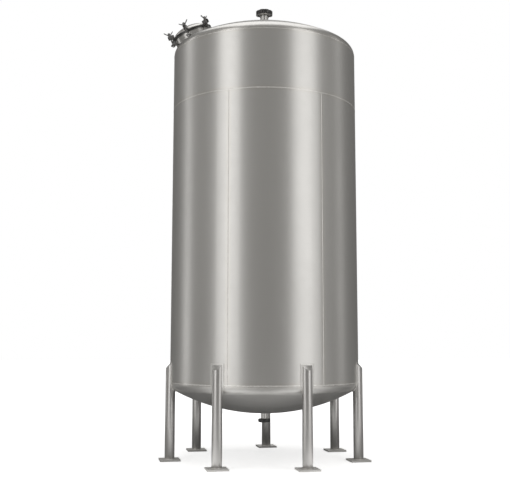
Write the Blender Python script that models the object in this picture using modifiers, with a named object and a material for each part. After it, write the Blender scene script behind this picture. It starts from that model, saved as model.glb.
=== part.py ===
"""Bulk milk tank: a vertical welded stainless vessel on seven pipe legs, with a bolted manway on its
upper dished head, a capped pipe union at the top centre and another at the outlet below.

Metres, +Z up, floor at z = 0. The vessel's axis stands at x = AXIS_X, which centres the footprint of
the seven feet on the origin.
"""

import math

import bmesh
import bpy
from mathutils import Matrix, Vector

# ---------------------------------------------------------------- driving dimensions
AXIS_X = 0.050          # vessel axis, so that the feet's bounding box is centred on the origin
GAP = 0.0004            # left between pieces that are welded, bolted or resting on one another
RADIUS = 1.000          # outer radius of the shell
WALL = 0.004            # sheet thickness of shell and heads
SHELL_BOTTOM = 0.795    # lower tangent line
COURSE_SEAM = 3.727     # ring weld between the lower and the upper course
SHELL_TOP = 4.341       # upper tangent line
SHEETS = 6              # upright sheets round the lower course
SHEET_SEAM = 237.6      # azimuth of the upright weld where the closing sheet starts, degrees
CLOSING_SHEET = 56.3    # span of the closing sheet; the others share the rest evenly
CROWN = 2.000           # crown radius of both dished heads
KNUCKLE = 0.100         # their knuckle radius
FACETS = 60             # round the vessel
ROUND = 32              # round the manway and the unions

LEGS = 7
FIRST_LEG = 180.0       # azimuth of leg 1, degrees
LEG_RADIUS = 0.0508     # 4 inch pipe
LEG_WALL = 0.0025
LEG_TOP = 0.942         # outer edge of the mitred top
FOOT_SIDE = 0.210
FOOT_THICKNESS = 0.018
PAD_WIDTH = 0.140
PAD_THICKNESS = 0.004
PAD_BOTTOM, PAD_TOP = 0.735, 1.000
PAD_CHAMFER = 0.030

MANWAY_TILT = 23.0      # angle between the manway's axis and the vertical, leaning to -X
CLAMP_AZIMUTH = 245.0   # the middle clamp's direction round the vessel; the hinge is opposite
NECK_RADIUS = 0.206
NECK_WALL = 0.003
RIM_RADIUS = 0.228
RIM_TOP = 0.080         # height of the manway's rim above the head, along its own axis
GASKET = 0.006
LID_WALL = 0.004
LID_DISH_RADIUS = 0.200
LID_CROWN = 0.350
LID_KNUCKLE = 0.040
CLAMP_SPACING = 60.0    # degrees between clamps
CLAMP_CIRCLE = 0.250
BOLT_RADIUS = 0.0085    # core of an M20 thread
NUT_BORE = 0.0100       # outside of an M20 thread
EAR_HEIGHT = 0.040
EAR_HALF = 0.020        # half width of the lid's ears
WING_HUB_HEIGHT = 0.030
WING_HUB_FOOT = 0.019   # radius of the wing nuts' seat
WING_TURNS = {1: 98.0, 2: -14.0, 3: 8.0}    # how far each nut is turned at rest, degrees
SLOT_HALF = 0.012       # half width of the ears' slots, which clear the bolts as the lid swings up
SLOT_END = CLAMP_CIRCLE - 0.002
LUG_LOW, LUG_HIGH = 0.018, 0.032
LUG_HALF = 0.022        # half width of the clamp lugs
CLAMP_END = CLAMP_CIRCLE + 0.022
HINGE_X, HINGE_Z = -0.262, 0.1375
HINGE_PIN = 0.007       # radius of the hinge pin
HINGE_EYE = 0.016       # radius of the cheeks about the pin
CHEEK = 0.008
CHEEK_GAP = 0.052       # between the two cheeks
ARM_WIDTH = 0.050
LID_RIM_BOTTOM = RIM_TOP + GASKET + 2 * GAP
LID_RIM_TOP = LID_RIM_BOTTOM + LID_WALL
EAR_TOP = LID_RIM_TOP + GAP + EAR_HEIGHT
RIM_THICKNESS = 0.010

TOP_UNION = dict(stub=0.046, male=0.069, nut=0.095, nut_low=0.199, nut_height=0.046, collar=0.003)
OUTLET_UNION = dict(stub=0.035, male=0.048, nut=0.0655, nut_low=0.059, nut_height=0.037, collar=0.0)
STUB_WALL = 0.002
STUB_INSIDE = 0.030     # how far the stubs reach into the vessel
CAP_LIP = 0.008         # top of a union nut, which holds its cap down
CAP_EDGE = 0.005
SEAL = 0.004
NUT_LOBES = 8
NOTCH_RADIUS = 0.26     # of the round notches in a union nut, as a share of its radius
NOTCH_DEPTH = 0.19
FIRST_NOTCH = 258.4     # azimuth, degrees
LANCE_RADIUS = 0.019    # cleaning lance inside the top union
LANCE_BOTTOM = 4.420
BALL_RADIUS = 0.045
BALL_WALL = 0.002
BALL_DROP = 0.030       # from the lance's end to the ball's centre
BALL_SLEEVE = 0.025     # how far the ball's sleeve runs up the lance

STEEL = (0.58, 0.57, 0.55)
PIPE_STEEL = (0.50, 0.49, 0.47)
CAST_STEEL = (0.20, 0.20, 0.20)
BLACK_RUBBER = (0.03, 0.03, 0.03)


# ---------------------------------------------------------------- scene and helpers
def clear_scene():
    for obj in list(bpy.data.objects):
        bpy.data.objects.remove(obj, do_unlink=True)


def new_collection(name):
    collection = bpy.data.collections.new(name)
    bpy.context.scene.collection.children.link(collection)
    return collection


def material(name, color, roughness, metallic):
    mat = bpy.data.materials.new(name)
    mat.use_nodes = True
    shader = mat.node_tree.nodes["Principled BSDF"]
    shader.inputs["Base Color"].default_value = (*color, 1.0)
    shader.inputs["Roughness"].default_value = roughness
    shader.inputs["Metallic"].default_value = metallic
    return mat


def add_object(name, data, mat=None, parent=None, collection=None):
    obj = bpy.data.objects.new(name, data)
    (collection or TANK).objects.link(obj)
    obj.parent = parent
    if mat and data.materials.find(mat.name) < 0:
        data.materials.append(mat)
    return obj


def add_empty(name, location, rotation=None, parent=None):
    empty = bpy.data.objects.new(name, None)
    TANK.objects.link(empty)
    empty.parent = parent
    empty.location = location
    if rotation:
        empty.rotation_euler = rotation.to_euler()
    return empty


def arc(cx, cz, radius, start, end, steps):
    """Points of an arc in a profile plane, angles in degrees from +X towards +Z."""
    angles = [math.radians(start + (end - start) * i / steps) for i in range(steps + 1)]
    return [(cx + radius * math.cos(a), cz + radius * math.sin(a)) for a in angles]


def profile_mesh(name, points, closed):
    """A chain of edges in the XZ plane, for a Screw modifier."""
    bm = bmesh.new()
    verts = [bm.verts.new((x, 0.0, z)) for x, z in points]
    for a, b in zip(verts, verts[1:]):
        bm.edges.new((a, b))
    if closed:
        bm.edges.new((verts[-1], verts[0]))
    mesh = bpy.data.meshes.new(name)
    bm.to_mesh(mesh)
    bm.free()
    return mesh


def screw(obj, degrees, steps):
    turn = obj.modifiers.new("turn", "SCREW")
    turn.angle = math.radians(degrees)
    turn.steps = turn.render_steps = steps
    turn.use_merge_vertices = degrees == 360.0
    turn.merge_threshold = 0.00001
    turn.use_smooth_shade = True


def turned(name, points, mat, parent=None, steps=ROUND, closed=True, collection=None):
    """A turned piece. The profile runs down its outer side and, where closed, up its inner side."""
    obj = add_object(name, profile_mesh(name, points, closed), mat, parent, collection)
    screw(obj, 360.0, steps)
    return obj


def ring(name, inner, outer, low, high, mat, parent=None, steps=ROUND):
    points = [(outer, high), (outer, low), (inner, low), (inner, high)]
    return turned(name, points, mat, parent, steps)


def evaluated_mesh(obj):
    bpy.context.view_layer.update()
    graph = bpy.context.evaluated_depsgraph_get()
    return bpy.data.meshes.new_from_object(obj.evaluated_get(graph), depsgraph=graph)


def apply_modifiers(obj):
    mesh = evaluated_mesh(obj)
    obj.modifiers.clear()
    obj.data = mesh
    return obj


def weld_points(mesh):
    bm = bmesh.new()
    bm.from_mesh(mesh)
    bmesh.ops.remove_doubles(bm, verts=bm.verts, dist=0.00001)
    bmesh.ops.recalc_face_normals(bm, faces=bm.faces)
    bm.to_mesh(mesh)
    bm.free()


def curve_to_mesh(curve_obj, name, mat, collection=None):
    """A mesh object that stands where the curve stood, with its caps welded on."""
    mesh = evaluated_mesh(curve_obj)
    weld_points(mesh)
    obj = add_object(name, mesh, mat, curve_obj.parent, collection)
    obj.matrix_world = curve_obj.matrix_world.copy()
    bpy.data.objects.remove(curve_obj, do_unlink=True)
    return obj


def plate(name, outline, thickness, mat, parent=None, placed=None, collection=None):
    """A flat plate: an outline in its own XY plane, extruded half its thickness to each side."""
    curve = bpy.data.curves.new(name, "CURVE")
    curve.dimensions = "2D"
    curve.fill_mode = "BOTH"
    curve.extrude = thickness / 2
    spline = curve.splines.new("POLY")
    spline.points.add(len(outline) - 1)
    for point, (x, y) in zip(spline.points, outline):
        point.co = (x, y, 0.0, 1.0)
    spline.use_cyclic_u = True
    obj = add_object(name + "_outline", curve, parent=parent, collection=collection)
    obj.matrix_local = placed or Matrix()
    bpy.context.view_layer.update()
    return curve_to_mesh(obj, name, mat, collection)


def cylinder(name, radius, low, high, segments, mat=None, parent=None, placed=None, collection=None):
    mesh = bpy.data.meshes.new(name)
    bm = bmesh.new()
    bmesh.ops.create_cone(bm, cap_ends=True, segments=segments, radius1=radius, radius2=radius,
                          depth=high - low, matrix=Matrix.Translation((0, 0, (low + high) / 2)))
    bm.to_mesh(mesh)
    bm.free()
    obj = add_object(name, mesh, mat, parent, collection)
    obj.matrix_local = placed or Matrix()
    return obj


def as_cutter(obj):
    for owner in list(obj.users_collection):
        owner.objects.unlink(obj)
    CUTTERS.objects.link(obj)
    obj.hide_render = True
    obj.display_type = "WIRE"
    return obj


def boolean(obj, other, operation="DIFFERENCE"):
    cut = obj.modifiers.new(operation.lower(), "BOOLEAN")
    cut.operation = operation
    cut.object = other
    cut.solver = "EXACT"
    return cut


def join_and_remove(obj, other):
    """Union the other body into obj for good."""
    boolean(obj, other, "UNION")
    apply_modifiers(obj)
    bpy.data.objects.remove(other, do_unlink=True)
    return obj


def smooth(obj, degrees=35.0):
    obj.data.shade_smooth()
    obj.data.set_sharp_from_angle(angle=math.radians(degrees))


def turn_z(degrees):
    return Matrix.Rotation(math.radians(degrees), 4, "Z")


# ---------------------------------------------------------------- vessel
def head_depth():
    return CROWN - math.sqrt((CROWN - KNUCKLE) ** 2 - (RADIUS - KNUCKLE) ** 2)


def head_arc(offset, hole, crown_steps=4, knuckle_steps=4):
    """Half section of a dished head from a central hole's edge to its tangent line at z = 0, standing
    the given distance outside the vessel's outer surface."""
    centre = head_depth() - CROWN
    knuckle_angle = math.degrees(math.acos((RADIUS - KNUCKLE) / (CROWN - KNUCKLE)))
    crown = CROWN + offset
    first = math.degrees(math.acos(hole / crown)) if hole > 0 else 90.0
    points = arc(0.0, centre, crown, first, knuckle_angle, crown_steps)
    points += arc(RADIUS - KNUCKLE, 0.0, KNUCKLE + offset, knuckle_angle, 0.0, knuckle_steps)[1:]
    return points


def dished_head(name, hole, placed):
    outer = head_arc(0.0, hole)
    inner = head_arc(-WALL, hole)
    head = turned(name, outer + inner[::-1], SHEET_METAL, VESSEL, FACETS)
    head.matrix_local = placed
    return head


def lower_course():
    """Upright sheets, each a bent plate, butted side by side."""
    sheet_mesh = profile_mesh("sheet", [(RADIUS, COURSE_SEAM - GAP), (RADIUS, SHELL_BOTTOM + GAP)], False)
    even_span = (360.0 - CLOSING_SHEET) / (SHEETS - 1)
    seam = math.degrees(2 * GAP / RADIUS)
    for number in range(SHEETS):
        span = even_span if number else CLOSING_SHEET
        start = SHEET_SEAM + (CLOSING_SHEET + (number - 1) * even_span if number else 0.0)
        sheet = add_object(f"lower_sheet_{number + 1}", sheet_mesh, SHEET_METAL, VESSEL)
        sheet.rotation_euler.z = math.radians(start + seam / 2)
        screw(sheet, span - seam, FACETS // SHEETS)
        wall = sheet.modifiers.new("wall", "SOLIDIFY")
        wall.thickness = WALL
        wall.offset = -1.0
        wall.use_even_offset = True


def build_vessel():
    lower_course()
    ring("upper_course", RADIUS - WALL, RADIUS, COURSE_SEAM + GAP, SHELL_TOP - GAP, SHEET_METAL, VESSEL,
         FACETS)
    top = dished_head("top_head", TOP_UNION["stub"] + GAP, Matrix.Translation((0, 0, SHELL_TOP)))
    upside_down = Matrix.Translation((0, 0, SHELL_BOTTOM)) @ Matrix.Rotation(math.pi, 4, "X")
    dished_head("bottom_head", OUTLET_UNION["stub"] + GAP, upside_down)
    hole = cylinder("manway_hole", NECK_RADIUS + GAP, -0.10, 0.10, ROUND, parent=MANWAY,
                    collection=CUTTERS)
    boolean(top, as_cutter(hole))


# ---------------------------------------------------------------- legs
def mitred_rod(name, radius, low, mitre_top, segments=24):
    """An upright rod at the origin whose top slopes down at 45 degrees towards +X, where it ends at
    the given height."""
    bm = bmesh.new()
    bmesh.ops.create_cone(bm, cap_ends=True, segments=segments, radius1=radius, radius2=radius,
                          depth=2.0, matrix=Matrix.Translation((0, 0, low + 1.0)))
    cut = bmesh.ops.bisect_plane(bm, geom=bm.verts[:] + bm.edges[:] + bm.faces[:], clear_outer=True,
                                 plane_co=(radius, 0, mitre_top), plane_no=(1, 0, 1))
    edges = [item for item in cut["geom_cut"] if isinstance(item, bmesh.types.BMEdge)]
    bmesh.ops.edgeloop_fill(bm, edges=edges)
    bmesh.ops.recalc_face_normals(bm, faces=bm.faces)
    mesh = bpy.data.meshes.new(name)
    bm.to_mesh(mesh)
    bm.free()
    return mesh


def coped_leg_mesh():
    """One leg at azimuth 0: a pipe with a capped mitre, coped over its doubler pad and the shell."""
    leg = add_object("leg", mitred_rod("leg", LEG_RADIUS, FOOT_THICKNESS + GAP, LEG_TOP), LEG_STEEL,
                     VESSEL)
    leg.location.x = RADIUS
    bore_radius = LEG_RADIUS - LEG_WALL
    cap_drop = LEG_WALL * (math.sqrt(2.0) - 1.0)
    bore = add_object("leg_bore", mitred_rod("leg_bore", bore_radius, -0.1, LEG_TOP - cap_drop),
                      parent=VESSEL, collection=CUTTERS)
    bore.location.x = RADIUS
    offset = PAD_THICKNESS + 2 * GAP
    body = [(x, SHELL_BOTTOM - z) for x, z in head_arc(offset, 0.0, knuckle_steps=16)]
    body = [(0.0, PAD_TOP + 0.1), (RADIUS + offset, PAD_TOP + 0.1)] + body[::-1]
    cope = turned("leg_cope", body, None, VESSEL, 4 * FACETS, closed=False, collection=CUTTERS)
    boolean(leg, as_cutter(bore))
    boolean(leg, as_cutter(cope))
    apply_modifiers(leg)
    mesh = leg.data
    smooth(leg)
    bpy.data.objects.remove(leg, do_unlink=True)
    return mesh


def pad_mesh():
    """A doubler pad at azimuth 0: a plate bent to the shell and its lower knuckle."""
    low_angle = -math.degrees(math.asin((SHELL_BOTTOM - PAD_BOTTOM) / KNUCKLE))
    line = [(RADIUS + GAP, PAD_TOP)]
    line += arc(RADIUS - KNUCKLE, SHELL_BOTTOM, KNUCKLE + GAP, 0.0, low_angle, 4)
    width = math.degrees(PAD_WIDTH / RADIUS)
    pad = add_object("pad", profile_mesh("pad", line, False), LEG_STEEL, VESSEL)
    pad.rotation_euler.z = math.radians(-width / 2)
    screw(pad, width, 6)
    thick = pad.modifiers.new("thick", "SOLIDIFY")
    thick.thickness = PAD_THICKNESS
    thick.offset = 1.0
    thick.use_even_offset = True
    half = PAD_WIDTH / 2 + 0.01
    corner = PAD_CHAMFER + 0.01
    outline = [(-half, PAD_TOP + 0.01), (-half, PAD_BOTTOM + corner), (-half + corner, PAD_BOTTOM - 0.01),
               (half - corner, PAD_BOTTOM - 0.01), (half, PAD_BOTTOM + corner), (half, PAD_TOP + 0.01)]
    facing_x = Matrix.Translation((RADIUS, 0, 0)) @ Matrix(((0, 0, 1, 0), (1, 0, 0, 0), (0, 1, 0, 0),
                                                            (0, 0, 0, 1)))
    trim = plate("pad_outline", outline, 0.3, None, VESSEL, facing_x, CUTTERS)
    boolean(pad, as_cutter(trim), "INTERSECT")
    bpy.context.view_layer.update()
    mesh = evaluated_mesh(pad)
    mesh.transform(pad.matrix_local)
    bpy.data.objects.remove(pad, do_unlink=True)
    return mesh


def foot_mesh():
    mesh = bpy.data.meshes.new("foot")
    bm = bmesh.new()
    bmesh.ops.create_cube(bm, size=1.0, matrix=Matrix.Diagonal((FOOT_SIDE, FOOT_SIDE, FOOT_THICKNESS, 1)))
    bm.to_mesh(mesh)
    bm.free()
    return mesh


def build_legs():
    leg_data, pad_data, foot_data = coped_leg_mesh(), pad_mesh(), foot_mesh()
    for number in range(1, LEGS + 1):
        azimuth = FIRST_LEG + (number - 1) * 360.0 / LEGS
        radial = turn_z(azimuth)
        leg = add_object(f"leg_{number}", leg_data, LEG_STEEL, VESSEL)
        leg.matrix_local = radial @ Matrix.Translation((RADIUS, 0, 0))
        pad = add_object(f"leg_pad_{number}", pad_data, LEG_STEEL, VESSEL)
        pad.matrix_local = radial
        foot = add_object(f"base_plate_{number}", foot_data, LEG_STEEL, VESSEL)
        foot.location = radial @ Vector((RADIUS, 0, FOOT_THICKNESS / 2))
        edge = foot.modifiers.new("edge", "BEVEL")
        edge.width = 0.0015
        edge.segments = 1


# ---------------------------------------------------------------- manway
def manway_frame():
    """Axes of the manway: its origin on the head's outer surface, Z along the neck, X towards the
    middle clamp."""
    tilt = math.radians(MANWAY_TILT)
    normal = Vector((-math.sin(tilt), 0.0, math.cos(tilt)))
    origin = Vector((0.0, 0.0, SHELL_TOP + head_depth() - CROWN)) + CROWN * normal
    clamp = math.radians(CLAMP_AZIMUTH)
    flat = Vector((math.cos(clamp), math.sin(clamp), 0.0))
    x_axis = (flat - normal * flat.dot(normal)).normalized()
    y_axis = normal.cross(x_axis)
    return Matrix.Translation(origin) @ Matrix((x_axis, y_axis, normal)).transposed().to_4x4()


def clamp_places():
    return [(number, turn_z((number - 2) * CLAMP_SPACING)) for number in (1, 2, 3)]


def lid_profile():
    """Flat rim and torispherical dish, one wall thick."""
    rise = LID_CROWN - math.sqrt((LID_CROWN - LID_KNUCKLE) ** 2 - (LID_DISH_RADIUS - LID_KNUCKLE) ** 2)
    meet = math.degrees(math.acos((LID_DISH_RADIUS - LID_KNUCKLE) / (LID_CROWN - LID_KNUCKLE)))

    def dish(offset, base):
        centre = base + rise - LID_CROWN
        points = arc(0.0, centre, LID_CROWN + offset, 90.0, meet, 4)
        return points + arc(LID_DISH_RADIUS - LID_KNUCKLE, base, LID_KNUCKLE + offset, meet, 0.0, 4)[1:]

    outside = dish(0.0, LID_RIM_TOP)
    inside = dish(-LID_WALL, LID_RIM_TOP)[:-1]
    return (outside + [(RIM_RADIUS, LID_RIM_TOP), (RIM_RADIUS, LID_RIM_BOTTOM),
                       (LID_DISH_RADIUS - LID_WALL, LID_RIM_BOTTOM)] + inside[::-1])


def u_outline(inner, outer, half_width, slot_centre, slot_half):
    """A block outline open towards +X by a round-ended slot."""
    slot = [(slot_centre - slot_half * math.sin(a), slot_half * math.cos(a))
            for a in (math.pi * i / 8 for i in range(9))]
    return ([(inner, -half_width), (outer, -half_width), (outer, -slot_half)] + slot[::-1]
            + [(outer, slot_half), (outer, half_width), (inner, half_width)])


def lifted(height):
    return Matrix.Translation((0, 0, height))


def lid_ear(name, placed):
    clear_of_dish = LID_DISH_RADIUS + 0.0085
    outline = u_outline(clear_of_dish, CLAMP_END, EAR_HALF, SLOT_END, SLOT_HALF)
    return plate(name, outline, EAR_HEIGHT, CASTING, MANWAY,
                 placed @ lifted(LID_RIM_TOP + GAP + EAR_HEIGHT / 2))


def fit_to_neck(piece):
    """Hollow the piece's back to the neck that it is welded to."""
    boolean(piece, as_cutter(cylinder(piece.name + "_seat", NECK_RADIUS + GAP, -0.10, 0.12, ROUND,
                                      parent=MANWAY, collection=CUTTERS)))


def clamp_lug(name, placed):
    """A welded shelf on the neck that holds the clamp bolt's head."""
    back = NECK_RADIUS - 0.006
    outline = [(back, -LUG_HALF), (CLAMP_END, -LUG_HALF), (CLAMP_END, LUG_HALF), (back, LUG_HALF)]
    lug = plate(name, outline, LUG_HIGH - LUG_LOW, CASTING, MANWAY,
                placed @ lifted((LUG_LOW + LUG_HIGH) / 2))
    fit_to_neck(lug)
    hole = cylinder(name + "_hole", BOLT_RADIUS + GAP, -0.02, 0.02, 20, parent=lug, collection=CUTTERS,
                    placed=Matrix.Translation((CLAMP_CIRCLE, 0, 0)))
    boolean(lug, as_cutter(hole))


def clamp_bolt(name, placed):
    """A hexagon-headed bolt standing in its lug, long enough to pass right through its nut."""
    head_radius, head_height, stand_out = 0.0165, 0.0135, 0.006
    at = placed @ Matrix.Translation((CLAMP_CIRCLE, 0, 0))
    inside_head = LUG_LOW - head_height / 2
    bolt = cylinder(name, BOLT_RADIUS, inside_head, EAR_TOP + WING_HUB_HEIGHT + stand_out, 20, CASTING,
                    MANWAY, at)
    head_top = LUG_LOW - GAP
    head = cylinder(name + "_head", head_radius, head_top - head_height, head_top, 6, CASTING, MANWAY, at)
    join_and_remove(bolt, head)


def wing_nut_mesh():
    """A coned hub with two arms that rise to either side, bored through."""
    top, waist = 0.0135, 0.0145
    points = [(0.0, WING_HUB_HEIGHT), (top, WING_HUB_HEIGHT), (waist, 0.010), (WING_HUB_FOOT, 0.003),
              (WING_HUB_FOOT, 0.0), (0.0, 0.0)]
    hub = turned("hub", points, CASTING, None, 20, closed=False)
    apply_modifiers(hub)
    curve = bpy.data.curves.new("arms", "CURVE")
    curve.dimensions = "3D"
    curve.bevel_depth = 0.0075
    curve.bevel_resolution = 2
    curve.use_fill_caps = True
    spline = curve.splines.new("POLY")
    tip, middle, root, inside_hub = (0.058, 0.048), (0.044, 0.036), (0.024, 0.020), (0.012, 0.014)
    route = [tip, middle, root, inside_hub]
    route += [(-x, z) for x, z in route[::-1]]
    spline.points.add(len(route) - 1)
    for point, (x, z) in zip(spline.points, route):
        point.co = (0.0, x, z, 1.0)
    arms = curve_to_mesh(add_object("arms_line", curve), "arms", CASTING)
    join_and_remove(hub, arms)
    bore = cylinder("wing_nut_bore", NUT_BORE, -0.01, 0.06, 20, collection=CUTTERS)
    boolean(hub, as_cutter(bore))
    apply_modifiers(hub)
    smooth(hub)
    mesh = hub.data
    bpy.data.objects.remove(hub, do_unlink=True)
    return mesh


def build_clamps():
    nut_data = wing_nut_mesh()
    for number, placed in clamp_places():
        clamp_lug(f"clamp_lug_{number}", placed)
        clamp_bolt(f"clamp_bolt_{number}", placed)
        lid_ear(f"lid_ear_{number}", placed)
        nut = add_object(f"wing_nut_{number}", nut_data, CASTING, MANWAY)
        nut.matrix_local = (placed @ Matrix.Translation((CLAMP_CIRCLE, 0, EAR_TOP + GAP))
                            @ turn_z(WING_TURNS[number]))


def upright(offset=0.0):
    """Stands a plate's own plane up in the manway's XZ plane, that far along Y."""
    return Matrix(((1, 0, 0, 0), (0, 0, -1, offset), (0, 1, 0, 0), (0, 0, 0, 1)))


def build_bracket(pin_place):
    """Two cheeks on the neck, round about the pin, and the web between them. Returns the pin hole's
    cutter."""
    back, web_front, foot_low, foot_high = 0.010 - NECK_RADIUS, -0.2180, 0.015, 0.062
    heel, throat = (HINGE_X + 0.002, 0.045), (-0.2360, 0.066)
    outline = arc(HINGE_X, HINGE_Z, HINGE_EYE, 45.0, 270.0, 10)
    outline += [heel, (back, foot_low), (back, foot_high), throat]
    middle = (CHEEK_GAP + CHEEK) / 2
    bracket = plate("hinge_bracket", outline, CHEEK, CASTING, MANWAY, upright(middle))
    other = plate("cheek", outline, CHEEK, CASTING, MANWAY, upright(-middle))
    web_outline = [(back, foot_low), (back, foot_high), (web_front, foot_high), (web_front, foot_low)]
    web = plate("web", web_outline, CHEEK_GAP + CHEEK, CASTING, MANWAY, upright())
    join_and_remove(bracket, web)
    join_and_remove(bracket, other)
    fit_to_neck(bracket)
    hole = cylinder("hinge_hole", HINGE_PIN + GAP, -0.06, 0.06, 20, parent=MANWAY, placed=pin_place,
                    collection=CUTTERS)
    boolean(bracket, as_cutter(hole))
    return hole


def build_pin(pin_place):
    """A headed pin, riveted over at its other end."""
    reach = CHEEK_GAP / 2 + CHEEK
    head_radius, head_height = 0.011, 0.004
    pin = cylinder("hinge_pin", HINGE_PIN, -reach - 0.002, reach + 0.002, 20, CASTING, MANWAY, pin_place)
    for end in (-1, 1):
        head = cylinder("pin_head", head_radius, -head_height / 2, head_height / 2, 20, CASTING, MANWAY,
                        pin_place @ lifted(end * (reach + GAP + head_height / 2)))
        join_and_remove(pin, head)


def build_arm(pin_place, hole):
    """The lid's half of the hinge: a barrel on the pin and a strap down to the lid's rim."""
    half, barrel, strap_half = ARM_WIDTH / 2, 0.014, 0.013
    arm = cylinder("hinge_arm", barrel, -half, half, 20, CASTING, MANWAY, pin_place)
    foot = LID_RIM_TOP + GAP
    toe, bend_outside, bend_inside = -0.2085, -0.2350, -0.2360
    outline = [(HINGE_X, HINGE_Z - strap_half), (HINGE_X, HINGE_Z + strap_half),
               (bend_outside, foot + 0.024), (toe, foot + 0.010), (toe, foot), (bend_inside, foot)]
    strap = plate("strap", outline, ARM_WIDTH - 0.006, CASTING, MANWAY, upright())
    join_and_remove(arm, strap)
    boolean(arm, hole)


def build_hinge():
    pin_place = Matrix.Translation((HINGE_X, 0, HINGE_Z)) @ Matrix.Rotation(math.pi / 2, 4, "X")
    hole = build_bracket(pin_place)
    build_pin(pin_place)
    build_arm(pin_place, hole)


def build_manway():
    rim_bottom = RIM_TOP - RIM_THICKNESS
    ring("manway_neck", NECK_RADIUS - NECK_WALL, NECK_RADIUS, -0.022, rim_bottom - GAP, SHEET_METAL, MANWAY)
    ring("manway_rim", NECK_RADIUS - NECK_WALL, RIM_RADIUS, rim_bottom, RIM_TOP, CASTING, MANWAY)
    ring("lid_gasket", NECK_RADIUS, RIM_RADIUS - 0.003, RIM_TOP + GAP, RIM_TOP + GAP + GASKET, RUBBER,
         MANWAY)
    turned("manway_lid", lid_profile(), SHEET_METAL, MANWAY, closed=False)
    build_clamps()
    build_hinge()


# ---------------------------------------------------------------- pipe unions
def notches(name, nut_radius, low, high, parent):
    """Round notches in the rim of a union nut, as one cutter."""
    notch = NOTCH_RADIUS * nut_radius
    centre = (1.0 - NOTCH_DEPTH) * nut_radius + notch
    mesh = bpy.data.meshes.new(name)
    bm = bmesh.new()
    for number in range(NUT_LOBES):
        azimuth = FIRST_NOTCH + number * 360.0 / NUT_LOBES
        place = turn_z(azimuth) @ Matrix.Translation((centre, 0, (low + high) / 2))
        bmesh.ops.create_cone(bm, cap_ends=True, segments=16, radius1=notch, radius2=notch,
                              depth=high - low + 0.02, matrix=place)
    bm.to_mesh(mesh)
    bm.free()
    return as_cutter(add_object(name, mesh, None, parent, CUTTERS))


def pipe_union(prefix, parent, stub, male, nut, nut_low, nut_height, collar):
    """A welded stub with a threaded male end, closed by a cap under a notched union nut. Its axis is
    the parent's Z, from the vessel's wall outwards."""
    bore = stub - STUB_WALL
    nut_high = nut_low + nut_height
    lip_low = nut_high - CAP_LIP
    cap_top = lip_low - GAP
    cap_low = cap_top - CAP_EDGE
    seal_low = cap_low - GAP - SEAL
    face = seal_low - GAP - (collar + GAP if collar else 0.0)
    neck = nut_low - 0.004
    turned(prefix + "_stub", [(male, face), (male, neck + 0.010), (stub, neck), (stub, -STUB_INSIDE),
                              (bore, -STUB_INSIDE), (bore, face)], SHEET_METAL, parent)
    ring(prefix + "_seal", stub + 0.001, male - 0.006, seal_low, seal_low + SEAL, RUBBER, parent)
    flange = male - 0.002
    dome = [(0.0, cap_top + 0.006), (0.6 * stub, cap_top + 0.005), (stub, cap_top), (flange, cap_top),
            (flange, cap_low), (0.0, cap_low)]
    turned(prefix + "_cap", dome, SHEET_METAL, parent, closed=False)
    thread = male + 0.0015
    mouth = stub + 0.006
    body = [(nut - 0.010, nut_high), (nut, nut_high - 0.008), (nut, nut_low + 0.004),
            (nut - 0.004, nut_low), (thread, nut_low), (thread, lip_low), (mouth, lip_low),
            (mouth, nut_high)]
    union_nut = turned(prefix + "_nut", body, CASTING, parent)
    boolean(union_nut, notches(prefix + "_nut_notches", nut, nut_low, nut_high, parent))
    return face


def build_unions():
    top = add_empty("top_union_axis", (0, 0, SHELL_TOP + head_depth()), parent=VESSEL)
    face = pipe_union("top", top, **TOP_UNION)
    outlet = add_empty("outlet_union_axis", (0, 0, SHELL_BOTTOM - head_depth()),
                       Matrix.Rotation(math.pi, 4, "X"), VESSEL)
    pipe_union("outlet", outlet, **OUTLET_UNION)
    build_lance(SHELL_TOP + head_depth() + face + GAP)


def build_lance(collar_low):
    """The cleaning lance: a pipe hung by its collar in the top union, with a spray ball on its end."""
    collar_high = collar_low + TOP_UNION["collar"]
    collar_radius = TOP_UNION["male"] - 0.005
    inner = LANCE_RADIUS - STUB_WALL
    turned("cip_lance", [(collar_radius, collar_high), (collar_radius, collar_low),
                         (LANCE_RADIUS, collar_low), (LANCE_RADIUS, LANCE_BOTTOM),
                         (inner, LANCE_BOTTOM), (inner, collar_high)], SHEET_METAL, VESSEL, 24)
    sleeve_inside = LANCE_RADIUS + GAP
    sleeve_outside = sleeve_inside + BALL_WALL
    top_angle = math.degrees(math.acos(sleeve_outside / BALL_RADIUS))
    inner_angle = math.degrees(math.acos(sleeve_inside / (BALL_RADIUS - BALL_WALL)))
    centre = LANCE_BOTTOM - BALL_DROP
    sleeve_top = LANCE_BOTTOM + BALL_SLEEVE
    outside = arc(0.0, centre, BALL_RADIUS, top_angle, -90.0, 6)
    inside = arc(0.0, centre, BALL_RADIUS - BALL_WALL, -90.0, inner_angle, 6)
    turned("spray_ball", [(sleeve_outside, sleeve_top)] + outside + inside + [(sleeve_inside, sleeve_top)],
           SHEET_METAL, VESSEL, 20)


# ---------------------------------------------------------------- build
clear_scene()
TANK = new_collection("bulk_milk_tank")
CUTTERS = new_collection("cutters")
SHEET_METAL = material("brushed_sheet", STEEL, 0.32, 1.0)
LEG_STEEL = material("leg_steel", PIPE_STEEL, 0.38, 1.0)
CASTING = material("dark_casting", CAST_STEEL, 0.40, 1.0)
RUBBER = material("seal_rubber", BLACK_RUBBER, 0.70, 0.0)
VESSEL = add_empty("vessel_axis", (AXIS_X, 0, 0))
MANWAY = add_empty("manway_axis", (0, 0, 0), parent=VESSEL)
MANWAY.matrix_local = manway_frame()

build_vessel()
build_legs()
build_manway()
build_unions()
bpy.context.view_layer.update()
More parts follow.
